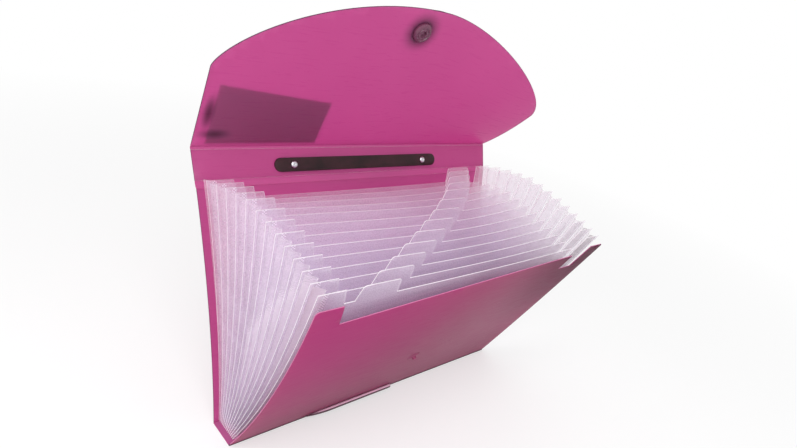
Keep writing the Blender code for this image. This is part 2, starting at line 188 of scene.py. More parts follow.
# glow is the light that comes through, clear the share that is seen straight through
# spots are soft patches of another tone: centre and size on the sheet, colour, share
coverLook = {"colour": rgb(180, 105, 150), "deep": rgb(172, 98, 142), "glow": rgb(232, 124, 190),
             "roughness": 0.3, "through": 0.6, "clear": 0.12, "gloss": 0.5, "spots": ()}
flapLook = {**coverLook, "colour": rgb(190, 114, 160), "deep": rgb(182, 106, 152),
            "glow": rgb(242, 131, 199),
            # painted shade: two soft dark patches by the flap's left edge near the crease
            "spots": (((-0.158, 0.035), (0.006, 0.022), rgb(84, 42, 62), 0.7),
                      ((-0.150, 0.014), (0.017, 0.007), rgb(84, 42, 62), 0.6),
                      # painted shadow: a soft dark halo round the press stud
                      ((-0.006, 0.1255), (0.021, 0.021), rgb(84, 40, 64), 0.85))}
knobLook = {"colour": rgb(172, 94, 130), "deep": rgb(163, 86, 121), "glow": rgb(228, 104, 170),
            "roughness": 0.34, "through": 0.42, "clear": 0.06, "gloss": 0.1,
            # a deeper tone at the left, a painted sheen at the middle right and painted shade at the upper
            # right corner; the knob shares this look
            "spots": (((-0.14, 0.2), (0.22, 0.2), rgb(196, 66, 138), 0.9),
                      ((0.075, 0.1), (0.13, 0.17), rgb(194, 124, 152), 0.7),
                      ((0.17, 0.22), (0.15, 0.15), rgb(108, 26, 66), 0.97))}
# rim: a painted shade line along the right side and the foot
frontLook = {**knobLook, "rim": (halfWidth - 0.0008, 0.0014, rimShade)}
scoredLook = {**coverLook, "colour": rgb(196, 120, 166), "deep": rgb(188, 112, 158)}
studLook = {**coverLook, "colour": rgb(124, 62, 92), "deep": rgb(104, 48, 76), "glow": rgb(150, 70, 110),
            "through": 0.2, "clear": 0.0, "roughness": 0.22, "gloss": 0.8}
spineLook = {**coverLook, "rimAt": -0.0148, "bump": (0.12, 0.0001)}


def sheetRoughness(bench, value, look):
    return bench.between(value, look["roughness"] - sheetFinish["smoother"],
                         look["roughness"] + sheetFinish["rougher"], *noiseRange)


def coverPlastic(name, look):
    bench, finish = NodeBench(name), sheetFinish
    flat = bench.uv()
    colour = bench.ramp(bench.noise(flat, *finish["cloud"], flat=True), look["deep"], look["colour"])
    glowColour = look["glow"]
    # the spots are painted into colour and glow alike; on the flap and the front panel most are painted
    # shade or a painted sheen
    for centre, size, tone, share in look["spots"]:
        place = bench.math("MULTIPLY", bench.spot(flat, centre, size), share)
        colour, glowColour = (bench.blend(place, c, tone) for c in (colour, glowColour))
    # painted shade: a dark line along the right side and the foot, which face down
    if "rim" in look:  # a dark line where the right side and the foot end
        side, foot, tone = look["rim"]
        spread = bench.split(flat)
        line = bench.math("MAXIMUM", bench.math("GREATER_THAN", spread[0], side),
                          bench.math("LESS_THAN", spread[1], foot))
        colour, glowColour = (bench.blend(line, c, tone) for c in (colour, glowColour))
    scuffs = bench.noise(bench.uv(finish["scuffScale"], finish["scuffTurn"]), *finish["scuffs"], flat=True)
    grain = bench.noise(flat, *finish["grain"], flat=True)
    relief = bench.math("ADD", bench.between(grain, 0, finish["grainShare"]),
                        bench.between(scuffs, 0, finish["scuffShare"]))
    normal = bench.bump(relief, *finish["bump"])
    body = bench.add("BsdfPrincipled", {
        "Base Color": colour, "Roughness": sheetRoughness(bench, scuffs, look), "Normal": normal,
        "IOR": plasticIor, "Specular IOR Level": look["gloss"]}).outputs[0]
    glow = bench.add("BsdfTranslucent", {"Color": glowColour, "Normal": normal}).outputs[0]
    clear = bench.add("BsdfTransparent", {"Color": glowColour}).outputs[0]
    return bench.finish(bench.mix(look["clear"], bench.mix(look["through"], body, glow), clear))


def spineSkin(name, look):  # the same sheet, its grain placed by the piece itself, its front rim dark
    bench = NodeBench(name)
    spot = bench.place()
    cloud, grain = bench.noise(spot, *sheetFinish["cloud"]), bench.noise(spot, *sheetFinish["grain"])
    # painted shade: a dark band along the spine's front rim, at the crease to the front panel
    frontRim = bench.math("LESS_THAN", bench.split(spot)[1], look["rimAt"])
    tone = bench.blend(frontRim, bench.ramp(cloud, look["deep"], look["colour"]), rimShade)
    body = bench.add("BsdfPrincipled", {
        "Base Color": tone, "Roughness": sheetRoughness(bench, cloud, look),
        "Normal": bench.bump(grain, *look["bump"]), "IOR": plasticIor}).outputs[0]
    glowColour = bench.blend(frontRim, look["glow"], rimShade)
    glow = bench.add("BsdfTranslucent", {"Color": glowColour}).outputs[0]
    return bench.finish(bench.mix(look["through"], body, glow))


# the stops run from the low to the high height: share, tone; they are painted light, painted shade low down
# and a painted highlight along the crown
lipLook = {"low": 0.0035, "high": 0.0095, "streaks": (700, 2), "roughness": (0.12, 0.24),
           "bump": (0.1, 0.00008), "through": 0.2,
           "stops": ((0.0, rgb(74, 36, 54)), (0.48, rgb(84, 42, 62)), (0.56, rgb(250, 200, 226)),
                     (0.72, rgb(250, 200, 226)), (0.8, rgb(150, 76, 110)))}


def lipSkin(name, look):  # moulded lip: dark towards the table, a bright line along its crown
    bench = NodeBench(name)
    spot = bench.place()
    streaks = bench.noise(spot, *look["streaks"])
    height = bench.between(bench.split(spot)[2], 0, 1, look["low"], look["high"])
    # painted light: the tone follows height alone, painted shade towards the table and a painted highlight
    # along the crown
    tones = bench.add("ValToRGB", {0: height})
    stops = tones.color_ramp.elements
    for at, _ in look["stops"][2:]:
        stops.new(at)
    for stop, (at, tone) in zip(stops, look["stops"]):
        stop.position, stop.color = at, (*tone, 1)
    body = bench.add("BsdfPrincipled", {"Base Color": tones.outputs[0],
                                        "Roughness": bench.between(streaks, *look["roughness"]),
                                        "Normal": bench.bump(streaks, *look["bump"])}).outputs[0]
    glow = bench.add("BsdfTranslucent", {"Color": tones.outputs[0]}).outputs[0]
    return bench.finish(bench.mix(look["through"], body, glow))


edgeLook = {"scale": (300, 300, 300), "streaks": (3, 4), "roughness": 0.42, "bump": (0.2, 0.0001),
            "through": 0.4}


def cutEdge(name, colour, dark=None, side=None, above=None, below=None, pale=0.8):
    # a cut edge, a little rough; painted shade darkens it where it stands past one of the three places
    bench = NodeBench(name)
    streaks = bench.noise(bench.place(edgeLook["scale"]), *edgeLook["streaks"])
    tone = bench.ramp(streaks, tuple(c * pale for c in colour), colour)
    if dark:
        spread = bench.split(bench.uv())
        past = 0.0
        if side:
            across = spread[0] if side > 0 else bench.math("ABSOLUTE", spread[0])
            past = bench.math("GREATER_THAN", across, abs(side))
        if above:
            past = bench.math("MAXIMUM", past, bench.math("GREATER_THAN", spread[1], above))
        if below:
            past = bench.math("MAXIMUM", past, bench.math("LESS_THAN", spread[1], below))
        tone = bench.blend(past, tone, dark)
    body = bench.add("BsdfPrincipled", {"Base Color": tone, "Roughness": edgeLook["roughness"],
                                        "Normal": bench.bump(streaks, *edgeLook["bump"])}).outputs[0]
    glow = bench.add("BsdfTranslucent", {"Color": tone}).outputs[0]
    return bench.finish(bench.mix(edgeLook["through"], body, glow))


# haze: how much of the film isn't clear; body: how much of that reflects
# weld: how far in from the side edge the knurled band runs; ears: painted light, whiter towards the right
filmLook = {"colour": rgb(243, 235, 247), "tint": rgb(252, 248, 253), "shade": 0.95, "haze": 0.32,
            "clearer": 0.05, "hazier": 0.06, "body": 0.6, "roughness": 0.3, "sheen": 0.55,
            "emboss": (900, 1), "embossShare": 0.6, "embossHaze": 0.05, "embossRange": (0.35, 0.65),
            "wave": (24, 3), "waveShare": 2.5,
            "streakScale": (10, 90, 1), "streaks": (1.0, 3), "bump": (0.35, 0.00012), "edge": 0.161,
            "weld": (0.0042, 0.0078), "knurl": 900, "knurlHaze": 0.42, "ears": rgb(252, 252, 251),
            "earsFrom": (0.05, 0.14)}
pleatLook = {**filmLook, "haze": 0.27, "colour": rgb(251, 243, 250), "edge": 0}


def clearFilm(name, look):
    # embossed polypropylene film: hazy, with glints; a knurled weld runs along each side edge
    bench = NodeBench(name)
    flat = bench.uv()
    cells = bench.noise(flat, *look["emboss"], flat=True)
    wave = bench.noise(flat, *look["wave"], flat=True)
    relief = bench.math("ADD", bench.between(cells, 0, look["embossShare"]),
                        bench.between(wave, 0, look["waveShare"]))
    streaks = bench.noise(bench.uv(look["streakScale"]), *look["streaks"], flat=True)
    haze = bench.between(streaks, look["haze"] - look["clearer"], look["haze"] + look["hazier"], *noiseRange)
    haze = bench.math("ADD", haze, bench.between(cells, -look["embossHaze"], look["embossHaze"],
                                                 *look["embossRange"]))
    colour = bench.ramp(wave, tuple(c * look["shade"] for c in look["colour"]), look["colour"])
    if look["edge"]:
        near, far = look["weld"]
        across = bench.split(flat)[0]
        side = bench.math("ABSOLUTE", across)
        band = bench.math("MULTIPLY", bench.math("GREATER_THAN", side, look["edge"] - far),
                          bench.math("LESS_THAN", side, look["edge"] - near))
        dots = bench.add("TexChecker", {"Vector": flat, "Scale": look["knurl"], "Color1": white,
                                        "Color2": (0, 0, 0)}).outputs[1]
        knurl = bench.math("MULTIPLY", band, dots)
        relief = bench.math("ADD", relief, knurl)
        haze = bench.math("ADD", haze, bench.math("MULTIPLY", knurl, look["knurlHaze"]))
        # painted light: away from the cover's colour the right-hand ears are blended towards white
        colour = bench.blend(bench.between(across, 0, 1, *look["earsFrom"]), colour, look["ears"])
    normal = bench.bump(relief, *look["bump"])
    body = bench.add("BsdfPrincipled", {"Base Color": colour, "Roughness": look["roughness"],
                                        "Normal": normal, "IOR": plasticIor}).outputs[0]
    glow = bench.add("BsdfTranslucent", {"Color": colour, "Normal": normal}).outputs[0]
    clear = bench.add("BsdfTransparent", {"Color": look["tint"]}).outputs[0]
    sheen = bench.add("BsdfGlossy", {"Color": look["colour"], "Roughness": look["roughness"],
                                     "Normal": normal}).outputs[0]
    fresnel = bench.add("Fresnel", {"IOR": plasticIor, "Normal": normal}).outputs[0]
    sheet = bench.mix(haze, clear, bench.mix(1 - look["body"], body, glow))
    return bench.finish(bench.mix(bench.math("MULTIPLY", fresnel, look["sheen"]), sheet, sheen))


darkLook = {"cloud": (60, 5), "grain": (2600, 2), "tones": (rgb(32, 14, 18), rgb(58, 30, 36)),
            "toneRange": (0.35, 0.75), "metal": 0.0, "roughness": (0.34, 0.52), "bump": (0.25, 0.0001),
            "gloss": 0.25}
steelLook = {"cloud": (900, 4), "grain": (900, 4), "tones": (rgb(176, 174, 178), rgb(222, 222, 226)),
             "toneRange": noiseRange, "metal": 1.0, "roughness": (0.2, 0.38), "bump": (0.12, 0.0001),
             "gloss": 0.5}


def hardSkin(name, look):  # the handle's moulded plastic and the rivets' plated steel
    bench = NodeBench(name)
    spot = bench.place()
    cloud, grain = bench.noise(spot, *look["cloud"]), bench.noise(spot, *look["grain"])
    body = bench.add("BsdfPrincipled", {
        "Base Color": bench.ramp(cloud, *look["tones"], *look["toneRange"]), "Metallic": look["metal"],
        "Roughness": bench.between(cloud, *look["roughness"], *noiseRange),
        "Normal": bench.bump(grain, *look["bump"]), "Specular IOR Level": look["gloss"]}).outputs[0]
    return bench.finish(body)


paperLook = {"fibreScale": (900, 300, 1), "fibres": (1.0, 4), "cloud": (30, 3), "roughness": 0.5,
             "tones": (rgb(96, 60, 78), rgb(122, 78, 98)), "bump": (0.2, 0.00008)}


def labelPaper(name, look):  # blank and faintly mottled, as printed card looks without its print
    bench = NodeBench(name)
    fibres = bench.noise(bench.uv(look["fibreScale"]), *look["fibres"])
    cloud = bench.noise(bench.uv(), *look["cloud"])
    body = bench.add("BsdfPrincipled", {
        "Base Color": bench.ramp(cloud, *look["tones"]), "Roughness": look["roughness"],
        "Normal": bench.bump(fibres, *look["bump"])}).outputs[0]
    return bench.finish(body)


# tones of the cut edges, and where their dark stretches begin; the dark stretches are painted shade on edges
# that face down or away from the light, and the front's bright edge tone is a pale cut edge with painted
# highlight where it faces up
edgeTones = {"seam": rgb(206, 92, 156), "bright": rgb(232, 140, 190), "dark": rgb(84, 44, 72),
             "film": rgb(255, 253, 255), "end": halfWidth - 0.0009, "foot": 0.003}
cover = coverPlastic("coverPlastic", coverLook)
flapCover = coverPlastic("flapPlastic", flapLook)
frontCover = coverPlastic("frontCoverPlastic", frontLook)
scored = coverPlastic("scoredPlastic", scoredLook)
sideEdge = cutEdge("panelEdge", edgeTones["seam"], edgeTones["dark"], side=-edgeTones["end"])
flapEdge = cutEdge("flapEdge", edgeTones["seam"], edgeTones["dark"], above=edgeTones["foot"])
frontEdge = cutEdge("frontEdge", edgeTones["bright"], edgeTones["dark"], side=edgeTones["end"],
                    below=edgeTones["foot"])
film = clearFilm("clearFilm", filmLook)
filmEdge = cutEdge("filmEdge", edgeTones["film"], pale=0.97)
# the right-hand pleats take the ears' whiter colour, painted light as on the ears
pleatFilms = {-1: clearFilm("pleatFilmLeft", pleatLook),
              1: clearFilm("pleatFilmRight", {**pleatLook, "colour": filmLook["ears"], "haze": 0.2})}
dark = hardSkin("darkPlastic", darkLook)
steel = hardSkin("rivetSteel", steelLook)
paper = labelPaper("labelPaper", paperLook)
knobPlastic = coverPlastic("knobPlastic", knobLook)
studPlastic = coverPlastic("studPlastic", studLook)
lipPlastic = lipSkin("lipPlastic", lipLook)
spinePlastic = spineSkin("spinePlastic", spineLook)
print("materials made")


# building
shaping = {"turnBack": 0.8, "sharp": 35, "fineRound": 0.0005, "turnSteps": 48, "pillSteps": 10}


def flatUv(bm, spot):
    uv = bm.loops.layers.uv.new("flat")
    for face in bm.faces:
        for loop in face.loops:
            loop[uv].uv = spot(loop.vert.co)


def flatSheet(outline, cell, border=0):
    # a flat outline in the XZ plane with a narrow border, cut into cells so that it can bend
    bm = bmesh.new()
    face = bm.faces.new([bm.verts.new((x, 0, z)) for x, z in outline])
    if border:
        made = bmesh.ops.inset_region(bm, faces=[face], thickness=border, use_even_offset=True,
                                      use_boundary=True)
        for band in made["faces"]:
            band.material_index = 1
        for v in bm.verts:  # the trimmed edge turns back a little
            v.co.y = border * shaping["turnBack"] if v.is_boundary else 0
    for axis, normal in enumerate(((1, 0, 0), (0, 0, 1))):
        low, high = min(p[axis] for p in outline), max(p[axis] for p in outline)
        count = math.ceil((high - low) / cell[axis])
        for i in range(1, count):
            bmesh.ops.bisect_plane(
                bm, geom=bm.verts[:] + bm.edges[:] + bm.faces[:],
                plane_co=Vector(normal) * (low + (high - low) * i / count), plane_no=normal)
    bmesh.ops.triangulate(bm, faces=[f for f in bm.faces if len(f.verts) > 4])
    flatUv(bm, lambda co: (co.x, co.z))
    return bm


def newPiece(name, bm, materials):
    mesh = bpy.data.meshes.new(name)
    bm.to_mesh(mesh)
    bm.free()
    piece = bpy.data.objects.new(name, mesh)
    scene.collection.objects.link(piece)
    for material in materials:
        mesh.materials.append(material)
    return piece


def bakeShape(piece):
    # applies the modifiers and shades the piece smooth between its hard edges
    graph = bpy.context.evaluated_depsgraph_get()
    mesh = bpy.data.meshes.new_from_object(piece.evaluated_get(graph))
    piece.modifiers.clear()
    piece.data = mesh
    mesh.shade_smooth()
    mesh.set_sharp_from_angle(angle=math.radians(shaping["sharp"]))
    return piece


def sheetPiece(name, outline, cell, surface, place, thick, materials, soften=0, border=0):
    bm = flatSheet(outline, cell, border)
    for v in bm.verts:
        v.co = place @ (surface(v.co.x, v.co.z) + Vector((0, v.co.y, 0)))
    bmesh.ops.recalc_face_normals(bm, faces=bm.faces)
    piece = newPiece(name, bm, materials)
    if thick:
        shell = piece.modifiers.new("thickness", "SOLIDIFY")
        shell.thickness, shell.offset, shell.use_even_offset = thick, 0, True
        shell.material_offset_rim = len(materials) - 1
    if soften:
        soft = piece.modifiers.new("round", "BEVEL")
        soft.width, soft.limit_method, soft.harden_normals = soften, "ANGLE", True
        soft.segments = 2 if soften < shaping["fineRound"] else 4
    return bakeShape(piece)


def corner(centre, radius, start, end, steps=6):
    angles = [math.radians(start + (end - start) * i / steps) for i in range(steps + 1)]
    return [(centre[0] + radius * math.cos(a), centre[1] + radius * math.sin(a)) for a in angles]


def pill(x, z, length, height):
    r, steps = height / 2, shaping["pillSteps"]
    return (corner((x + length / 2 - r, z), r, -90, 90, steps)
            + corner((x - length / 2 + r, z), r, 90, 270, steps))


def fullWidth(foot, top):
    return [(-halfWidth, foot), (halfWidth, foot), (halfWidth, top), (-halfWidth, top)]


def coverSurface(x, z):
    return Vector((x, bow(x, z), z))


def stand(piece, body, node):
    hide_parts(node)
    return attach(piece, body)


# back panel, front panel, strip
frontCut = {"earWidth": 0.021, "earSlant": 0.003, "earCorner": 0.003, "leftDepth": 0.020,
            "rightDepth": 0.010, "notchDepth": 0.031, "notchWidth": 0.020, "notchSlant": 0.002,
            "cell": (0.009, 0.008)}


def backPanel():
    outline = fullWidth(folder["creaseGap"] / 2, folder["backHeight"] - folder["lowerWeb"] / 2)
    return sheetPiece("backPanel", outline, folder["cell"], coverSurface, backPlace, folder["cover"],
                      (cover, sideEdge), folder["edgeRound"])


def frontPanel():
    cut = frontCut
    foot, top = folder["creaseGap"] / 2, folder["frontHeight"]
    ear = halfWidth - cut["earWidth"]
    base = ear - cut["earSlant"]
    notch = base - cut["notchWidth"]
    outer = corner((halfWidth - cut["earCorner"], top - cut["earCorner"]), cut["earCorner"], 0, 90)
    right = [(halfWidth, foot)] + outer + [(ear, top), (base, top - cut["notchDepth"])]
    middle = [(notch, top - cut["notchDepth"]), (notch + cut["notchSlant"], top - cut["rightDepth"])]
    left = [(-base, top - cut["leftDepth"]), (-ear, top)]
    outline = right + middle + left + [(-x, z) for x, z in reversed(outer)] + [(-halfWidth, foot)]
    return sheetPiece("frontPanel", outline, cut["cell"], coverSurface, frontPlace, folder["cover"],
                      (frontCover, frontEdge), folder["edgeRound"])


def topStrip():
    outline = fullWidth(folder["lowerWeb"] / 2, folder["stripHeight"] - folder["upperWeb"] / 2)
    return sheetPiece("topStrip", outline, folder["cell"], lambda x, z: Vector((x, 0, z)), stripPlace,
                      folder["cover"], (cover, sideEdge), folder["edgeRound"])


stand(backPanel(), "back", "back_panel")
stand(frontPanel(), "front", "front_panel")
stand(topStrip(), "strip", "top_strip")

# flap: straight sides, then one arc from side to side; its right end curls forward
flapForm = {"side": 0.0755, "reach": 0.1455, "fullness": 1.4, "steps": 72, "curl": 27.5, "curlLoss": 21.0,
            "curlStart": 0.012, "cell": (0.008, 0.008)}


def flapPoint(x, z, off=0):
    share = min(1, max(0, (x - flapForm["curlStart"]) / (halfWidth - flapForm["curlStart"])))
    share *= share * (3 - 2 * share)
    start = math.radians(flapForm["curl"] * share)
    bend = -math.radians(flapForm["curlLoss"] * share) * z / flapForm["reach"]
    reach = z * (math.sin(bend / 2) / (bend / 2) if bend else 1)
    chord, end = start + bend / 2, start + bend
    return Vector((x, -reach * math.sin(chord) + off * math.cos(end),
                   reach * math.cos(chord) + off * math.sin(end)))


def flap():
    form = flapForm
    arc = []
    for i in range(form["steps"] + 1):
        a = math.pi * i / form["steps"]
        rise = max(0, math.sin(a)) ** form["fullness"]
        arc.append((halfWidth * math.cos(a), form["side"] + (form["reach"] - form["side"]) * rise))
    foot = folder["upperWeb"] / 2
    return sheetPiece("flapSheet", [(-halfWidth, foot), (halfWidth, foot)] + arc, form["cell"], flapPoint,
                      flapPlace, folder["cover"], (flapCover, flapEdge), folder["edgeRound"])


stand(flap(), "flap", "flap")
print("cover made")

# creases: thin bands bent from one panel to the next, with pressed lines along them
scoring = {"thick": 0.0004, "gap": 0.00005, "cell": (0.011, 0.0003), "grooveDepth": 0.00015,
           "grooveWidth": 0.00045, "lowerGrooves": (-0.22, 0.22), "upperGrooves": (0,)}


def crease(name, depth, before, after, grooves):
    reach = depth / 2 - scoring["gap"]

    def surface(x, z):
        dip = sum(scoring["grooveDepth"] * math.exp(-((z - g * depth) / scoring["grooveWidth"]) ** 2)
                  for g in grooves)
        return (before if z < 0 else after)(x, z, dip)

    return sheetPiece(name, fullWidth(-reach, reach), scoring["cell"], surface, Matrix(), scoring["thick"],
                      (scored, scored))


def backSide(x, z, dip):  # meets the back panel's bowed top edge
    share = min(1, -z / folder["lowerWeb"] * 2)
    return backPlace @ Vector((x, bow(x, folder["backHeight"] + z) * share + dip, folder["backHeight"] + z))


def stripFoot(x, z, dip):
    return stripPlace @ Vector((x, dip, z))


def stripTop(x, z, dip):
    return stripPlace @ Vector((x, dip, folder["stripHeight"] + z))


def flapSide(x, z, dip):
    return flapPlace @ flapPoint(x, z, dip)


def bridge(piece, node):
    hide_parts(node)
    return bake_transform(piece)


bridge(crease("lowerScoreBand", folder["lowerWeb"], backSide, stripFoot, scoring["lowerGrooves"]),
       "lower_score_band")
bridge(crease("upperScoreLine", folder["upperWeb"], stripTop, flapSide, scoring["upperGrooves"]),
       "upper_score_line")
print("creases made")

# pockets: clear dividers with ears and index tabs, joined by pleats
pockets = {"count": 13, "thick": 0.0002, "inset": 0.004, "foot": 0.0032, "firstHeight": 0.223,
           "fullHeight": 0.233, "heightStep": 0.0025, "cutout": 0.0145, "notch": 0.008, "tabWidth": 0.036,
           "tabSlant": 0.002, "tabCorner": 0.0025, "tabMargin": 0.009, "tabSteps": 4, "firstLean": -10.5,
           "lastLean": 24.5, "swell": 3.0, "border": 0.0008, "cell": (0.011, 0.010)}
# the loose film's belly and its ripple
slack = {"belly": 0.012, "most": 4.5, "shift": 0.02, "reach": 0.152, "rise": 1.6,
         "ripple": 0.0001, "across": 17, "up": 31, "fade": 0.05}
pleats = {"leg": 0.0098, "gap": 0.00035, "fold": 0.0005, "margin": 0.002, "round": 0.03, "shift": 0.015,
          "cell": (0.125, 0.008)}
dividerHalf = halfWidth - pockets["inset"]
dividerAxis = folder["cover"] + pockets["foot"]
pitch = 2 * panelAxis / (pockets["count"] + 1)
random.seed(13)
ripples = [[random.uniform(-1, 1) for _ in range(4)] for _ in range(pockets["count"] + 1)]


def dividerLean(number):
    share = (number - 1) / (pockets["count"] - 1)
    return (pockets["firstLean"] + (pockets["lastLean"] - pockets["firstLean"]) * share
            + pockets["swell"] * 4 * share * (1 - share))


def dividerTop(number):
    return min(pockets["fullHeight"], pockets["firstHeight"] + pockets["heightStep"] * (number - 1))


def dividerPlace(number):
    return standing(panelAxis - pitch * number, dividerAxis, dividerLean(number))


def belly(number, x, z):
    # the loose sheets belly forward in the middle of their top edges, most of all near the back
    most, end = slack["most"], pockets["count"] + 1
    if number < most:
        share = math.sin(number / most * math.pi / 2)
    else:
        share = (end - number) / (end - most)
    reach = slack["reach"] - (slack["shift"] if x > 0 else -slack["shift"])
    spread = max(0, 1 - ((x - slack["shift"]) / reach) ** 2) ** 2
    return -slack["belly"] * share * spread * max(0, z / pockets["fullHeight"]) ** slack["rise"]


def dividerSurface(number):
    # the common bow, the belly, and a slow ripple that fades out at the sides and the foot
    a, b, c, d = ripples[number]

    def surface(x, z):
        fade = max(0, 1 - (x / dividerHalf) ** 2) * min(1, z / slack["fade"])
        own = math.sin(slack["across"] * x + 3 * a) * b + math.sin(slack["up"] * z + 5 * c) * d
        return Vector((x, bow(x, z + pockets["foot"]) - bow(x, pockets["foot"]) + belly(number, x, z)
                       + slack["ripple"] * fade * own, z))
    return surface


def filmPiece(piece):
    # clear film, far thinner than it can be seen: one surface, which hardly dims what lies below it
    piece.visible_shadow = False
    return piece


def divider(number):
    # an ear at each side, and an index tab that steps across the cut-out from sheet to sheet
    top = dividerTop(number) - pockets["foot"]
    floor, deep = top - pockets["cutout"], top - frontCut["notchDepth"]
    ear = dividerHalf - frontCut["earWidth"]
    base = ear - frontCut["earSlant"]
    reach = base - pockets["tabMargin"] - pockets["tabWidth"] / 2
    middle = reach - 2 * reach * (number - 1) / (pockets["count"] - 1)
    low, high = middle - pockets["tabWidth"] / 2, middle + pockets["tabWidth"] / 2
    shoulder, level = pockets["tabSlant"] + pockets["tabCorner"], top - pockets["tabCorner"]
    notch, bend, steps = base - pockets["notch"], pockets["tabCorner"], pockets["tabSteps"]
    outline = [(dividerHalf, 0), (dividerHalf, top), (ear, top), (base, deep), (notch, deep),
               (notch, floor), (high, floor)]
    outline += corner((high - shoulder, level), bend, 0, 90, steps)
    outline += corner((low + shoulder, level), bend, 90, 180, steps) + [(low, floor)]
    outline += [(-base, floor), (-ear, top), (-dividerHalf, top), (-dividerHalf, 0)]
    return filmPiece(sheetPiece(f"dividerSheet_{number:02d}", outline, pockets["cell"],
                                dividerSurface(number), dividerPlace(number), 0, (film, filmEdge),
                                border=pockets["border"]))


def memberPoint(number, x, height, off):
    if number == 0:
        local, place = coverSurface(x, height), backPlace
    else:
        local = Vector((x, bow(x, height) - bow(x, pockets["foot"]), height - pockets["foot"]))
        place = dividerPlace(number)
    return place @ (local + Vector((0, 1, -bowSlope(x, height))).normalized() * off)


def pleat(number, side):
    back, thick = number - 1, folder["cover"] if number == 1 else pockets["thick"]
    top = min(dividerTop(number), dividerTop(max(back, 1))) - pleats["margin"]
    foot = pockets["foot"] + pleats["margin"]
    # a flat strip: width 0 at the member behind, 1 at the fold, 2 at the divider in front
    bm = flatSheet([(0, foot), (2, foot), (2, top), (0, top)], pleats["cell"])
    layer = bm.verts.layers.float.new("fold")
    edge = side * (dividerHalf - pleats["margin"])
    for v in bm.verts:
        width, height = v.co.x, v.co.z
        a = memberPoint(back, edge, height, -thick / 2 - pleats["gap"])
        b = memberPoint(number, edge, height, pockets["thick"] / 2 + pleats["gap"])
        half = (b - a).length / 2
        fold = math.sqrt(max(pleats["leg"] ** 2 - half ** 2, pleats["fold"] ** 2))
        # a softly rounded fold
        inward = fold * (1 - ((width - 1) ** 2 + pleats["round"]) ** 0.5 + pleats["shift"])
        v.co = a.lerp(b, width / 2) - Vector((side * max(0, inward), 0, 0))
        v[layer] = width / 2
    for face in bm.faces:
        for loop in face.loops:
            loop[bm.loops.layers.uv["flat"]].uv.x *= pleats["leg"]
    bmesh.ops.recalc_face_normals(bm, faces=bm.faces)
    hand = "left" if side < 0 else "right"
    piece = newPiece(f"pleatStrip_{hand}_{number:02d}", bm, (pleatFilms[side], filmEdge))
    filmPiece(bakeShape(piece))
    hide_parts(f"pleat_{hand}_{number:02d}")
    # a and b are still the two ends of the last line across the strip
    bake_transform(piece)
    # reads back each point's share of the strip's width from the fold attribute
    values = [0.0] * len(piece.data.vertices)
    piece.data.attributes["fold"].data.foreach_get("value", values)


for number in range(1, pockets["count"] + 1):
    stand(divider(number), f"divider_{number:02d}_body", f"divider_{number:02d}")
    for side in (-1, 1):
        pleat(number, side)
print("pockets made")

# handle
handle = {"centre": -0.006, "height": 0.0125, "plateLength": 0.184, "plateHeight": 0.0118,
          "plateThick": 0.0015, "plateRound": 0.0004, "plateCell": (0.01, 0.004), "rivetFromEnd": 0.018,
          "strapFromEnd": 0.004, "strapHeight": 0.0115, "strapThick": 0.0026, "strapRound": 0.0009,
          "strapCell": (0.003, 0.0029), "rise": 0.018, "flatEnd": 0.020}
rivet = {"shank": 0.0016, "head": 0.0031, "headHeight": 0.0012, "dimple": 0.0007}


def lathe(name, profile, place, materials):
    # a profile of (radius, height) points turned about its own Z
    bm = bmesh.new()
    points = [bm.verts.new((r, 0, z)) for r, z in profile]
    edges = [bm.edges.new(pair) for pair in zip(points, points[1:])]
    bmesh.ops.spin(bm, geom=points + edges, cent=(0, 0, 0), axis=(0, 0, 1), angle=2 * math.pi,
                   steps=shaping["turnSteps"], use_merge=True)
    bmesh.ops.remove_doubles(bm, verts=bm.verts, dist=1e-6)
    bmesh.ops.recalc_face_normals(bm, faces=bm.faces)
    flatUv(bm, lambda co: (co.x, co.y + co.z))
    bmesh.ops.transform(bm, matrix=place, verts=bm.verts)
    return bakeShape(newPiece(name, bm, materials))


def softened(profile, by):
    # each inner corner of a profile becomes a short round, less than half an edge long
    made = [profile[0]]
    for before, here, after in zip(profile, profile[1:], profile[2:]):
        h = Vector(here)
        first, last = Vector(before) - h, Vector(after) - h
        cut = min(by, first.length * 0.45, last.length * 0.45)
        p, q = h + first.normalized() * cut, h + last.normalized() * cut
        middle = (p + q) / 4 + h / 2
        made += [tuple(p), tuple(middle), tuple(q)]
    return made + [profile[-1]]


def backingPlate():
    face = -(folder["cover"] + handle["plateThick"]) / 2 - folder["fitGap"]
    outline = pill(handle["centre"], handle["height"], handle["plateLength"], handle["plateHeight"])
    return sheetPiece("handlePlate", outline, handle["plateCell"], lambda x, z: Vector((x, face, z)),
                      stripPlace, handle["plateThick"], (dark,), handle["plateRound"])


def strapRise(x):
    reach = handle["plateLength"] / 2 - handle["strapFromEnd"] - handle["flatEnd"]
    share = min(1, abs(x - handle["centre"]) / reach)
    return handle["rise"] * (1 + math.cos(math.pi * share)) / 2


def carryStrap():
    face = (folder["cover"] + handle["strapThick"]) / 2 + folder["fitGap"]
    outline = pill(handle["centre"], handle["height"], handle["plateLength"] - 2 * handle["strapFromEnd"],
                   handle["strapHeight"])
    return sheetPiece("carryStrap", outline, handle["strapCell"],
                      lambda x, z: Vector((x, face + strapRise(x), z)), stripPlace,
                      handle["strapThick"], (dark,), handle["strapRound"])


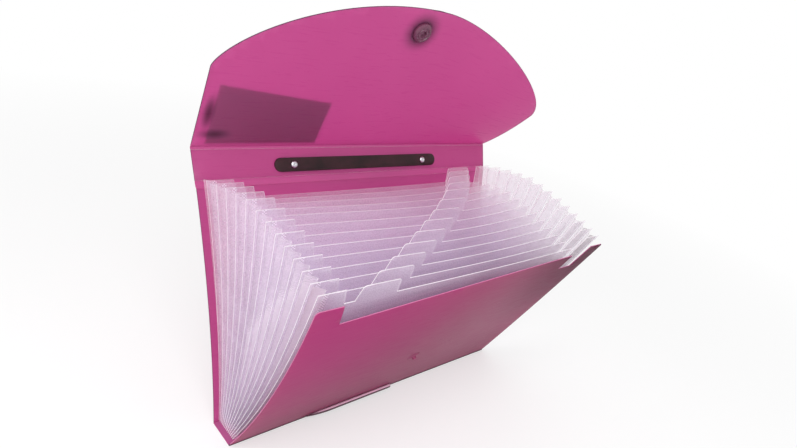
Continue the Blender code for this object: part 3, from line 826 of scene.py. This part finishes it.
def rivetPiece(name, side):
    spacing = handle["plateLength"] / 2 - handle["rivetFromEnd"]
    place = (stripPlace @ Matrix.Translation((handle["centre"] + side * spacing, 0, handle["height"]))
             @ turned(-90))
    inner = -(folder["cover"] / 2 + handle["plateThick"] + 2 * folder["fitGap"])
    outer = folder["cover"] / 2 + handle["strapThick"] + 2 * folder["fitGap"]
    head, tall, dimple = rivet["head"], rivet["headHeight"], rivet["dimple"]
    # shares of the head's radius and height, from the dimple in its middle to its rim
    crown = [(0, 0.72), (dimple / head * 0.6, 0.74), (dimple / head, 0.95), (0.42, 1.0), (0.66, 0.9),
             (0.86, 0.66), (0.97, 0.34), (1.0, 0.0)]
    top = [(r * head, outer + h * tall) for r, h in crown]
    low = [(r * head, inner - h * tall) for r, h in reversed(crown)]
    return lathe(name, top + [(rivet["shank"], outer), (rivet["shank"], inner)] + low, place, (steel,))


stand(backingPlate(), "strip", "handle_backing_plate")
stand(carryStrap(), "strip", "handle_strap")
stand(rivetPiece("rivetLeft", -1), "strip", "rivet_left")
stand(rivetPiece("rivetRight", 1), "strip", "rivet_right")
print("handle made")

# press stud; the profiles are written in shares of a part's radius and height
stud = {"reach": 0.1255, "centre": -0.006, "cap": 0.0100, "capHeight": 0.0018, "ring": 0.0085,
        "ringHeight": 0.0026, "mouth": 0.0024, "post": 0.0019, "flange": 0.0070, "flangeHeight": 0.0008,
        "flangeRim": 0.0001, "knob": 0.0021, "knobHeight": 0.0022, "seatGap": 0.00003, "soft": 0.0001}
face = folder["cover"] / 2 + folder["fitGap"]


def studCap():
    r, h, post = stud["cap"], stud["capHeight"], stud["post"]
    end = -face - stud["ringHeight"] / 2
    profile = [(0, face + h), (0.3 * r, face + h), (0.62 * r, face + 0.97 * h), (0.84 * r, face + 0.82 * h),
               (0.97 * r, face + 0.5 * h), (r, face + 0.2 * h), (r, face), (post, face), (post, end),
               (0, end)]
    return lathe("studCap", softened(profile, stud["soft"]), studPlace, (studPlastic,))


def studSocket():
    # a ring with a groove in its face and a round mouth that takes the knob
    low, bore = -face - stud["ringHeight"], stud["post"] + folder["fitGap"]
    r, h, mouth = stud["ring"], stud["ringHeight"], stud["mouth"] + folder["fitGap"]
    profile = [(bore, -face), (r, -face), (r, -face - 0.55 * h), (0.9 * r, -face - 0.85 * h),
               (0.8 * r, low), (0.66 * r, low), (0.62 * r, low + 0.16 * h), (0.55 * r, low + 0.16 * h),
               (0.51 * r, low), (mouth, low), (bore + folder["fitGap"], -face - 0.6 * h),
               (bore, -face - 0.55 * h), (bore, -face)]
    return lathe("studSocket", profile, studPlace, (studPlastic,))


def studKnob():
    # placed where the closed flap's stud meets the front panel
    height = folder["backHeight"] - stud["reach"] + folder["stripHeight"] - folder["spineDepth"]
    at = stud["centre"]
    place = (frontPlace @ Matrix.Translation((at, bow(at, height), height))
             @ Matrix.Rotation(-math.atan(bowSlope(at, height)), 4, "X") @ turned(90))
    k, h, f, flangeHeight = stud["knob"], stud["knobHeight"], stud["flange"], stud["flangeHeight"]
    neck, foot = face + flangeHeight, stud["post"] * 0.8
    inner, seat = -face - flangeHeight * 0.6, folder["cover"] / 2 + stud["seatGap"]
    profile = [(0, neck + h), (0.5 * k, neck + h), (0.8 * k, neck + 0.94 * h), (k, neck + 0.7 * h),
               (0.85 * k, neck + 0.2 * h), (0.9 * k, neck), (0.6 * f, face + flangeHeight * 0.6),
               (f, seat + stud["flangeRim"]), (f, seat), (foot, seat), (foot, -face), (f, -face),
               (0.97 * f, inner), (0, inner)]
    return lathe("studKnob", softened(profile, stud["soft"]), place, (knobPlastic,))


studPlace = flapPlace @ Matrix.Translation((stud["centre"], 0, stud["reach"])) @ turned(-90)
stand(studCap(), "flap", "flap_stud_cap")
stand(studSocket(), "flap", "flap_stud_socket")
stand(studKnob(), "front", "front_stud")
print("press stud made")

# label and lip
label = {"width": 0.096, "height": 0.057, "slant": 0.012, "thick": 0.0002, "fromLeft": 0.010,
         "fromCrease": 0.002, "cell": (0.008, 0.008)}
lip = {"length": 0.108, "height": 0.0056, "thick": 0.0038, "centre": -0.042, "foot": 0.0030,
       "taper": 0.3, "fullness": 0.8, "roundFrom": 0.97, "roundLength": 0.03, "least": 0.03,
       "stations": 40, "segments": 20}


def labelSheet():
    left, foot = -halfWidth + label["fromLeft"], folder["upperWeb"] / 2 + label["fromCrease"]
    right, top = left + label["width"], foot + label["height"]
    off = (folder["cover"] + label["thick"]) / 2 + folder["fitGap"]
    outline = [(left, foot), (right, foot), (right, top - label["slant"]), (left, top)]
    return sheetPiece("blankLabel", outline, label["cell"], lambda x, z: flapPoint(x, z, off), flapPlace,
                      label["thick"], (paper,))


def footLip():
    # a rolled lip along the front's foot: long taper at the left, round end at the right
    middle = lip["foot"] + lip["height"] / 2
    off = (folder["cover"] + lip["thick"]) / 2 + folder["fitGap"]
    bm = bmesh.new()
    ring = bmesh.ops.create_circle(bm, segments=lip["segments"], radius=1)["verts"]
    edges = bm.edges[:]
    rings = [ring]
    for _ in range(lip["stations"]):
        grown = bmesh.ops.extrude_edge_only(bm, edges=edges)["geom"]
        ring = [g for g in grown if isinstance(g, bmesh.types.BMVert)]
        edges = [g for g in grown if isinstance(g, bmesh.types.BMEdge)
                 and all(v in ring for v in g.verts)]
        rings.append(ring)
    for i, ring in enumerate(rings):
        share = i / lip["stations"]
        x = lip["centre"] + lip["length"] * (share - 0.5)
        size = min(1, math.sin(math.pi / 2 * min(1, share / lip["taper"])) ** lip["fullness"])
        size *= max(0, 1 - max(0, (share - lip["roundFrom"]) / lip["roundLength"]) ** 2) ** 0.5
        size = max(size, lip["least"])
        slope = bowSlope(x, middle)
        out = Vector((0, -1, slope)).normalized()
        along = Vector((0, slope, 1)).normalized()
        for v in ring:
            outward, up = v.co.x, v.co.y
            centre = Vector((x, bow(x, middle), middle)) + out * (off - lip["thick"] / 2 * (1 - size))
            v.co = frontPlace @ (centre + out * outward * size * lip["thick"] / 2
                                 + along * up * size * lip["height"] / 2)
    bmesh.ops.holes_fill(bm, edges=[e for e in bm.edges if e.is_boundary], sides=0)
    bmesh.ops.recalc_face_normals(bm, faces=bm.faces)
    flatUv(bm, lambda co: (co.x, co.y + co.z))
    return bakeShape(newPiece("footLip", bm, (lipPlastic,)))


stand(labelSheet(), "flap", "blank_label")
stand(footLip(), "front", "front_grip_strip")
print("label and lip made")

# the spine is a flat CAD strip and only gets its finish
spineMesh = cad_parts["spine_panel"].data
spineMesh.materials.clear()
spineMesh.materials.append(spinePlastic)

# floor, light, camera
studio = {"floorSize": 12.0, "floor": 0.92, "speck": 0.02, "floorRoughness": 0.8, "floorGloss": 0.1,
          "ambient": 0.72, "keyPlace": (-0.75, -0.75, 1.05), "keyAim": (0, 0, 0.1), "keySize": 1.4,
          "keyPower": 15.0, "shadow": 0.55, "clearFrom": 0.35, "clearTo": 1.1}
shot = {"place": (-0.33872, -0.35388, 0.40728), "yaw": 52.12, "pitch": -29.68, "roll": 16.7,
        "focal": 566.88, "centre": (462.11, 299.67), "picture": (797, 448), "sensor": 36, "near": 0.01}


def studioFloor():
    # the camera sees white paper: shadows show near the object and fade out with distance
    bench = NodeBench("studioFloor")
    floor, pale = studio["floor"], studio["floor"] + studio["speck"]
    tone = bench.ramp(bench.noise(bench.place(), 2, 2), (floor,) * 3, (pale,) * 3)
    body = bench.add("BsdfPrincipled", {"Base Color": tone, "Roughness": studio["floorRoughness"],
                                        "Specular IOR Level": studio["floorGloss"]}).outputs[0]
    paperWhite = bench.add("Emission", {"Color": white}).outputs[0]
    far = bench.between(bench.length(bench.place()), 1 - studio["shadow"], 1,
                        studio["clearFrom"], studio["clearTo"])
    share = bench.math("MULTIPLY", far, bench.seen())
    bm = bmesh.new()
    bmesh.ops.create_grid(bm, x_segments=2, y_segments=2, size=studio["floorSize"] / 2)
    newPiece("studioFloor", bm, (bench.finish(bench.mix(share, body, paperWhite)),))


def studioLight():
    bench = NodeBench("studio", "World")
    lit = bench.add("Background", {"Color": white, "Strength": studio["ambient"]}).outputs[0]
    backdrop = bench.add("Background", {"Color": white}).outputs[0]
    scene.world = bench.finish(bench.mix(bench.seen(), lit, backdrop))
    lamp = bpy.data.lights.new("softKey", "AREA")
    lamp.shape, lamp.size, lamp.energy = "DISK", studio["keySize"], studio["keyPower"]
    key = bpy.data.objects.new("softKey", lamp)
    key.location = studio["keyPlace"]
    key.rotation_euler = (Vector(studio["keyAim"]) - key.location).to_track_quat("-Z", "Y").to_euler()
    scene.collection.objects.link(key)


def photoCamera():
    yaw, pitch, roll = (math.radians(shot[k]) for k in ("yaw", "pitch", "roll"))
    forward = Vector((math.sin(yaw) * math.cos(pitch), math.cos(yaw) * math.cos(pitch), math.sin(pitch)))
    level = forward.cross(Vector((0, 0, 1))).normalized()
    upright = level.cross(forward)
    right = level * math.cos(roll) + upright * math.sin(roll)
    up = upright * math.cos(roll) - level * math.sin(roll)
    lens = bpy.data.cameras.new("photoCamera")
    width, height = shot["picture"]
    lens.sensor_width, lens.lens = shot["sensor"], shot["focal"] / width * shot["sensor"]
    lens.shift_x = (width / 2 - shot["centre"][0]) / width
    lens.shift_y = (shot["centre"][1] - height / 2) / width
    lens.clip_start = shot["near"]
    camera = bpy.data.objects.new("photoCamera", lens)
    facing = Matrix((right, up, -forward)).transposed().to_4x4()
    camera.matrix_world = Matrix.Translation(shot["place"]) @ facing
    scene.collection.objects.link(camera)
    scene.camera = camera


studioFloor()
studioLight()
photoCamera()
scene.view_settings.view_transform = "Standard"
print("floor, light and camera set")

bpy.context.view_layer.update()
